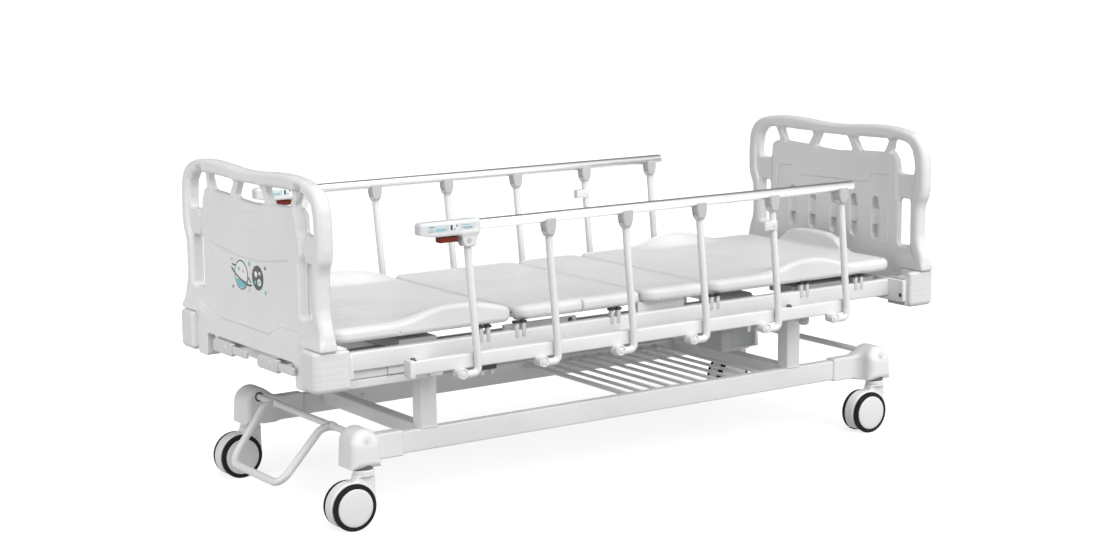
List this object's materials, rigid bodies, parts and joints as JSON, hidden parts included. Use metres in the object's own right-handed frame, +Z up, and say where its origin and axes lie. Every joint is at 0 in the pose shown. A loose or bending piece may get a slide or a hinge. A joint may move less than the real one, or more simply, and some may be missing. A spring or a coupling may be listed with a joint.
{
  "type": "pediatric hospital cot",
  "caption": "Children's-ward hospital bed: moulded deck sections raised by foot-end cranks, fold-down side rails, lift-off end boards, castors linked to a foot brake pedal",
  "frame": {"origin": "on the floor under the middle of the bed", "axes": "+X toward the head end, +Y toward the occupant's right, +Z up"},
  "size_m": [2.124, 0.958, 0.92],
  "materials": {
    "white_coat": "smooth off-white powder coat on steel",
    "moulded_white": "fine-textured warm white moulded plastic",
    "board_shell": "satin warm white moulded plastic",
    "bumper_grey": "pale grey ribbed plastic",
    "polished_aluminium": "bright drawn aluminium",
    "grey_steel": "grey painted steel",
    "drive_cover": "matt light grey cover",
    "wheel_rubber": "matt black tread, pale hub discs",
    "red_trigger": "dark red plastic"
  },
  "bodies": {
    "frame": {"base_rail_left": "white_coat", "base_rail_right": "white_coat", "foot_leg_frame": "white_coat", "head_leg_frame": "white_coat", "storage_rack": "white_coat", "side_beam_left": "white_coat", "side_beam_right": "white_coat", "head_end_beam": "white_coat", "foot_end_beam": "white_coat", "seat_panel": "moulded_white", "drive_box": "drive_cover", "siderail_left_base": "white_coat", "siderail_right_base": "white_coat", "castor_cover_foot_left": "moulded_white", "castor_cover_foot_right": "moulded_white", "castor_cover_head_left": "moulded_white", "castor_cover_head_right": "moulded_white", "bumper_foot_left": "bumper_grey", "bumper_foot_right": "bumper_grey", "bumper_head_left": "bumper_grey", "bumper_head_right": "bumper_grey"},
    "swivel_foot_left": {"castor_fork_foot_left": "white_coat"},
    "wheel_foot_left": {"castor_wheel_foot_left": "wheel_rubber"},
    "swivel_foot_right": {"castor_fork_foot_right": "white_coat"},
    "wheel_foot_right": {"castor_wheel_foot_right": "wheel_rubber"},
    "swivel_head_left": {"castor_fork_head_left": "white_coat"},
    "wheel_head_left": {"castor_wheel_head_left": "wheel_rubber"},
    "swivel_head_right": {"castor_fork_head_right": "white_coat"},
    "wheel_head_right": {"castor_wheel_head_right": "wheel_rubber"},
    "brake_pedal": {"brake_pedal": "white_coat"},
    "brake_shaft_head": {"brake_shaft_head": "grey_steel"},
    "back_section": {"back_panel": "moulded_white", "back_frame": "white_coat"},
    "thigh_section": {"thigh_panel": "moulded_white", "thigh_frame": "white_coat"},
    "leg_section": {"leg_panel": "moulded_white"},
    "crank_left": {"crank_left": "white_coat"},
    "crank_grip_left": {"crank_grip_left": "moulded_white"},
    "crank_right": {"crank_right": "white_coat"},
    "crank_grip_right": {"crank_grip_right": "moulded_white"},
    "headboard": {"headboard": "board_shell"},
    "footboard": {"footboard": "board_shell"},
    "siderail_left_upright_1": {"siderail_left_upright_1": "white_coat"},
    "siderail_left_upright_2": {"siderail_left_upright_2": "white_coat"},
    "siderail_left_upright_3": {"siderail_left_upright_3": "white_coat"},
    "siderail_left_upright_4": {"siderail_left_upright_4": "white_coat"},
    "siderail_left_upright_5": {"siderail_left_upright_5": "white_coat"},
    "siderail_left_upright_6": {"siderail_left_upright_6": "white_coat"},
    "siderail_left_handrail": {"siderail_left_handrail": "polished_aluminium", "siderail_left_latch": "moulded_white"},
    "siderail_left_trigger": {"siderail_left_trigger": "red_trigger"},
    "siderail_right_upright_1": {"siderail_right_upright_1": "white_coat"},
    "siderail_right_upright_2": {"siderail_right_upright_2": "white_coat"},
    "siderail_right_upright_3": {"siderail_right_upright_3": "white_coat"},
    "siderail_right_upright_4": {"siderail_right_upright_4": "white_coat"},
    "siderail_right_upright_5": {"siderail_right_upright_5": "white_coat"},
    "siderail_right_upright_6": {"siderail_right_upright_6": "white_coat"},
    "siderail_right_handrail": {"siderail_right_handrail": "polished_aluminium", "siderail_right_latch": "moulded_white"},
    "siderail_right_trigger": {"siderail_right_trigger": "red_trigger"}
  },
  "joints": [
    {"name": "castor_swivel_foot_left", "type": "hinge", "parent": "frame", "child": "swivel_foot_left", "pos_m": [-0.892, -0.33, 0.13], "axis": [0, 0, 1], "continuous": true},
    {"name": "castor_roll_foot_left", "type": "hinge", "parent": "swivel_foot_left", "child": "wheel_foot_left", "pos_m": [-0.934, -0.33, 0.0625], "axis": [0, 1, 0], "continuous": true},
    {"name": "castor_swivel_foot_right", "type": "hinge", "parent": "frame", "child": "swivel_foot_right", "pos_m": [-0.892, 0.33, 0.13], "axis": [0, 0, 1], "continuous": true},
    {"name": "castor_roll_foot_right", "type": "hinge", "parent": "swivel_foot_right", "child": "wheel_foot_right", "pos_m": [-0.934, 0.33, 0.0625], "axis": [0, 1, 0], "continuous": true},
    {"name": "castor_swivel_head_left", "type": "hinge", "parent": "frame", "child": "swivel_head_left", "pos_m": [0.892, -0.33, 0.13], "axis": [0, 0, 1], "continuous": true},
    {"name": "castor_roll_head_left", "type": "hinge", "parent": "swivel_head_left", "child": "wheel_head_left", "pos_m": [0.85, -0.33, 0.0625], "axis": [0, 1, 0], "continuous": true},
    {"name": "castor_swivel_head_right", "type": "hinge", "parent": "frame", "child": "swivel_head_right", "pos_m": [0.892, 0.33, 0.13], "axis": [0, 0, 1], "continuous": true},
    {"name": "castor_roll_head_right", "type": "hinge", "parent": "swivel_head_right", "child": "wheel_head_right", "pos_m": [0.85, 0.33, 0.0625], "axis": [0, 1, 0], "continuous": true},
    {"name": "brake_pedal_tilt", "type": "hinge", "parent": "frame", "child": "brake_pedal", "pos_m": [-0.892, 0, 0.236], "axis": [0, 1, 0], "range_deg": [-15, 15]},
    {"name": "brake_shaft_head_turn", "type": "hinge", "parent": "frame", "child": "brake_shaft_head", "pos_m": [0.892, 0, 0.236], "axis": [0, 1, 0], "range_deg": [-15, 15]},
    {"name": "back_lift", "type": "hinge", "parent": "frame", "child": "back_section", "pos_m": [0.245, 0, 0.522], "axis": [0, -1, 0], "range_deg": [0, 75]},
    {"name": "thigh_lift", "type": "hinge", "parent": "frame", "child": "thigh_section", "pos_m": [0.011, 0, 0.522], "axis": [0, 1, 0], "range_deg": [0, 40]},
    {"name": "leg_fold", "type": "hinge", "parent": "thigh_section", "child": "leg_section", "pos_m": [-0.419, 0, 0.488], "axis": [0, 1, 0], "range_deg": [-71, 0]},
    {"name": "crank_left_turn", "type": "hinge", "parent": "frame", "child": "crank_left", "pos_m": [-1.054, -0.15, 0.424], "axis": [1, 0, 0], "range_deg": [0, 10800]},
    {"name": "crank_grip_left_fold", "type": "hinge", "parent": "crank_left", "child": "crank_grip_left", "pos_m": [-1.056, -0.202, 0.4215], "axis": [0, 0, -1], "range_deg": [0, 90]},
    {"name": "crank_right_turn", "type": "hinge", "parent": "frame", "child": "crank_right", "pos_m": [-1.054, 0.12, 0.424], "axis": [1, 0, 0], "range_deg": [0, 7200]},
    {"name": "crank_grip_right_fold", "type": "hinge", "parent": "crank_right", "child": "crank_grip_right", "pos_m": [-1.056, 0.068, 0.4215], "axis": [0, 0, -1], "range_deg": [0, 90]},
    {"name": "headboard_lift_off", "type": "slide", "parent": "frame", "child": "headboard", "axis": [0, 0, 1], "range_m": [0, 0.25]},
    {"name": "footboard_lift_off", "type": "slide", "parent": "frame", "child": "footboard", "axis": [0, 0, 1], "range_m": [0, 0.25]},
    {"name": "siderail_left_fold", "type": "hinge", "parent": "frame", "child": "siderail_left_upright_1", "pos_m": [-0.669, -0.461, 0.4], "axis": [0, 1, 0], "range_deg": [0, 75]},
    {"name": "siderail_left_upright_2_turn", "type": "hinge", "parent": "frame", "child": "siderail_left_upright_2", "pos_m": [-0.418, -0.461, 0.4], "axis": [0, 1, 0], "range_deg": [0, 75]},
    {"name": "siderail_left_upright_3_turn", "type": "hinge", "parent": "frame", "child": "siderail_left_upright_3", "pos_m": [-0.168, -0.461, 0.4], "axis": [0, 1, 0], "range_deg": [0, 75]},
    {"name": "siderail_left_upright_4_turn", "type": "hinge", "parent": "frame", "child": "siderail_left_upright_4", "pos_m": [0.084, -0.461, 0.4], "axis": [0, 1, 0], "range_deg": [0, 75]},
    {"name": "siderail_left_upright_5_turn", "type": "hinge", "parent": "frame", "child": "siderail_left_upright_5", "pos_m": [0.345, -0.461, 0.4], "axis": [0, 1, 0], "range_deg": [0, 75]},
    {"name": "siderail_left_upright_6_turn", "type": "hinge", "parent": "frame", "child": "siderail_left_upright_6", "pos_m": [0.604, -0.461, 0.4], "axis": [0, 1, 0], "range_deg": [0, 75]},
    {"name": "siderail_left_handrail_level", "type": "hinge", "parent": "siderail_left_upright_1", "child": "siderail_left_handrail", "pos_m": [-0.646, -0.461, 0.742], "axis": [0, 1, 0], "range_deg": [-75, 0]},
    {"name": "siderail_left_trigger_press", "type": "slide", "parent": "siderail_left_handrail", "child": "siderail_left_trigger", "axis": [0, 0, 1], "range_m": [0, 0.006], "stiffness_N_per_m": 300},
    {"name": "siderail_right_fold", "type": "hinge", "parent": "frame", "child": "siderail_right_upright_1", "pos_m": [-0.669, 0.461, 0.4], "axis": [0, 1, 0], "range_deg": [0, 75]},
    {"name": "siderail_right_upright_2_turn", "type": "hinge", "parent": "frame", "child": "siderail_right_upright_2", "pos_m": [-0.418, 0.461, 0.4], "axis": [0, 1, 0], "range_deg": [0, 75]},
    {"name": "siderail_right_upright_3_turn", "type": "hinge", "parent": "frame", "child": "siderail_right_upright_3", "pos_m": [-0.168, 0.461, 0.4], "axis": [0, 1, 0], "range_deg": [0, 75]},
    {"name": "siderail_right_upright_4_turn", "type": "hinge", "parent": "frame", "child": "siderail_right_upright_4", "pos_m": [0.084, 0.461, 0.4], "axis": [0, 1, 0], "range_deg": [0, 75]},
    {"name": "siderail_right_upright_5_turn", "type": "hinge", "parent": "frame", "child": "siderail_right_upright_5", "pos_m": [0.345, 0.461, 0.4], "axis": [0, 1, 0], "range_deg": [0, 75]},
    {"name": "siderail_right_upright_6_turn", "type": "hinge", "parent": "frame", "child": "siderail_right_upright_6", "pos_m": [0.604, 0.461, 0.4], "axis": [0, 1, 0], "range_deg": [0, 75]},
    {"name": "siderail_right_handrail_level", "type": "hinge", "parent": "siderail_right_upright_1", "child": "siderail_right_handrail", "pos_m": [-0.646, 0.461, 0.742], "axis": [0, 1, 0], "range_deg": [-75, 0]},
    {"name": "siderail_right_trigger_press", "type": "slide", "parent": "siderail_right_handrail", "child": "siderail_right_trigger", "axis": [0, 0, 1], "range_m": [0, 0.006], "stiffness_N_per_m": 300}
  ],
  "couplings": [
    {"joint": "brake_shaft_head_turn", "follows": "brake_pedal_tilt", "ratio": 1},
    {"joint": "leg_fold", "follows": "thigh_lift", "ratio": -1.769},
    {"joint": "crank_left_turn", "follows": "back_lift", "ratio": 144},
    {"joint": "crank_right_turn", "follows": "thigh_lift", "ratio": 180},
    {"joint": "siderail_left_upright_2_turn", "follows": "siderail_left_fold", "ratio": 1},
    {"joint": "siderail_left_upright_3_turn", "follows": "siderail_left_fold", "ratio": 1},
    {"joint": "siderail_left_upright_4_turn", "follows": "siderail_left_fold", "ratio": 1},
    {"joint": "siderail_left_upright_5_turn", "follows": "siderail_left_fold", "ratio": 1},
    {"joint": "siderail_left_upright_6_turn", "follows": "siderail_left_fold", "ratio": 1},
    {"joint": "siderail_left_handrail_level", "follows": "siderail_left_fold", "ratio": -1},
    {"joint": "siderail_right_upright_2_turn", "follows": "siderail_right_fold", "ratio": 1},
    {"joint": "siderail_right_upright_3_turn", "follows": "siderail_right_fold", "ratio": 1},
    {"joint": "siderail_right_upright_4_turn", "follows": "siderail_right_fold", "ratio": 1},
    {"joint": "siderail_right_upright_5_turn", "follows": "siderail_right_fold", "ratio": 1},
    {"joint": "siderail_right_upright_6_turn", "follows": "siderail_right_fold", "ratio": 1},
    {"joint": "siderail_right_handrail_level", "follows": "siderail_right_fold", "ratio": -1}
  ]
}
